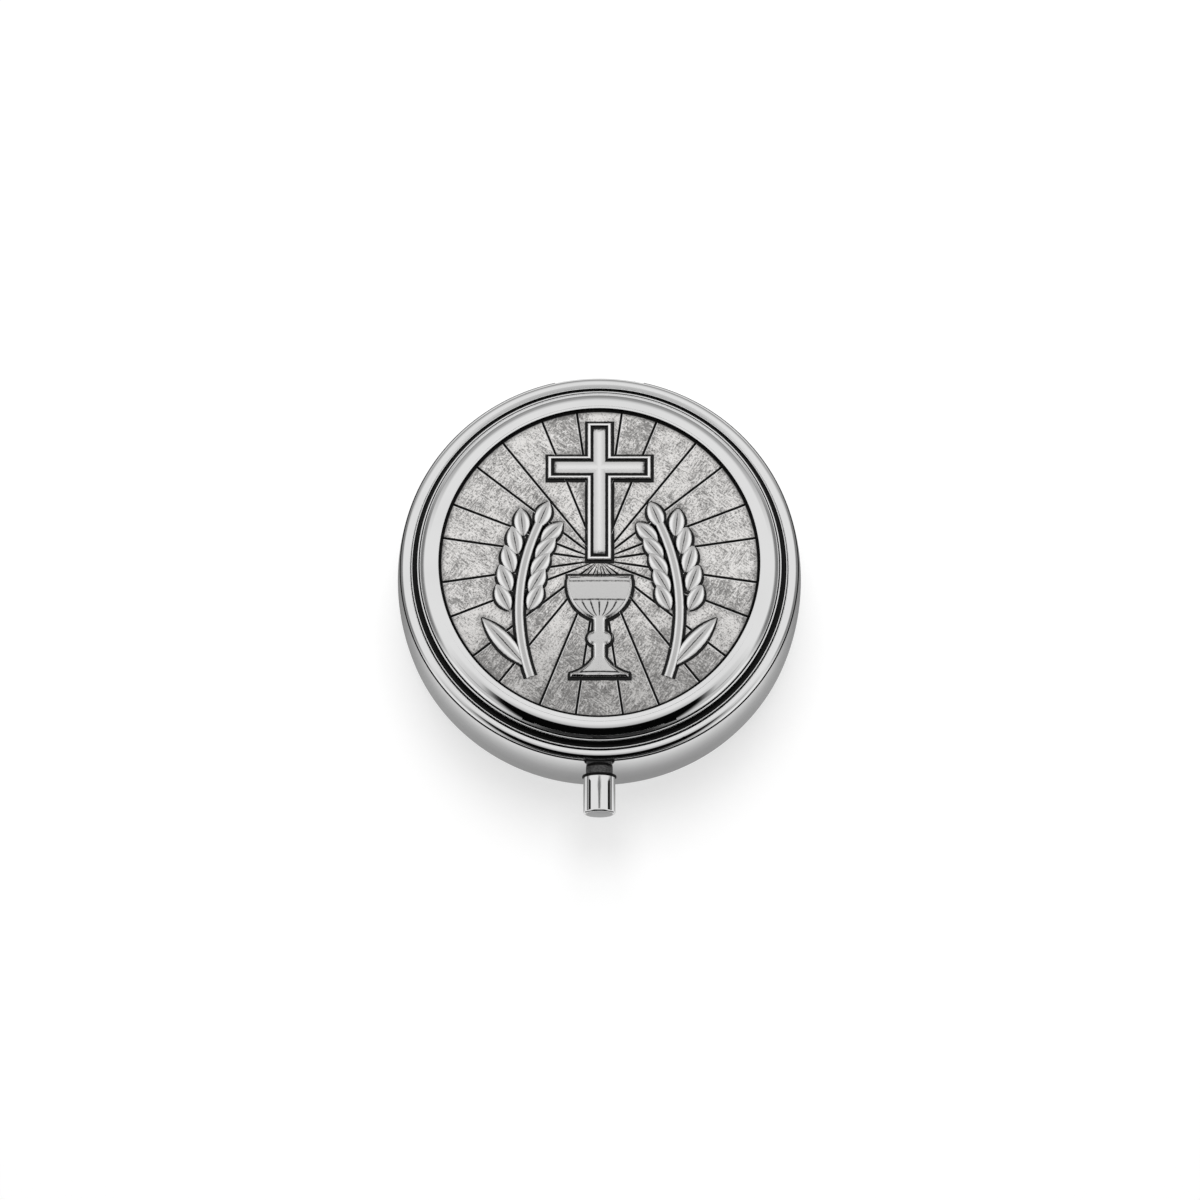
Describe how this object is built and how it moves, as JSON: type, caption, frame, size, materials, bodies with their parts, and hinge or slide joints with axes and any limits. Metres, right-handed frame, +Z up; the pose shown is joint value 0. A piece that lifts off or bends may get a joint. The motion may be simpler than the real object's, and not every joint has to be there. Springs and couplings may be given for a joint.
{
  "type": "pocket pyx",
  "caption": "Round pocket box for hosts with a hinged lid, a framed relief medallion on top and a sprung push-button catch at the front.",
  "frame": {"origin": "centre of the flat resting face under the base", "axes": "+Z up through the lid, -Y towards the push button, +Y towards the hinge, +X to the right as seen from the button"},
  "size_m": [0.05, 0.0556, 0.016],
  "materials": {
    "polished_case": "mirror-polished plating",
    "satin_lining": "satin plating",
    "antique_pewter": "cast, antiqued dark in its recesses and rubbed bright on its relief",
    "hinge_metal": "plated",
    "spring_steel": "drawn wire",
    "catch_steel": "stamped sheet and turned rod",
    "black_rubber": "matte black"
  },
  "bodies": {
    "base": {"base_shell": "polished_case", "base_liner": "satin_lining", "button_ferrule": "polished_case", "hinge_base_leaf": "hinge_metal", "hinge_pin": "hinge_metal", "hinge_spring": "spring_steel", "catch_guide": "catch_steel"},
    "lid": {"lid_shell": "polished_case", "lid_bezel": "polished_case", "medallion": "antique_pewter", "lid_lining": "satin_lining", "lid_tongue": "catch_steel", "hinge_lid_leaf": "hinge_metal"},
    "button": {"button_cap": "polished_case", "button_washer": "black_rubber", "button_stem": "catch_steel", "stem_clip": "catch_steel", "catch_plate": "catch_steel", "button_spring": "spring_steel"}
  },
  "joints": [
    {"name": "lid_hinge", "type": "hinge", "parent": "base", "child": "lid", "pos_m": [0, 0.0237, 0.01255], "axis": [-1, 0, 0], "range_deg": [0, 105], "deforming": ["hinge_spring"]},
    {"name": "button_press", "type": "slide", "parent": "base", "child": "button", "axis": [0, 1, 0], "range_m": [0, 0.0008], "stiffness_N_per_m": 400, "springref_m": -0.004, "deforming": ["button_spring"]}
  ]
}
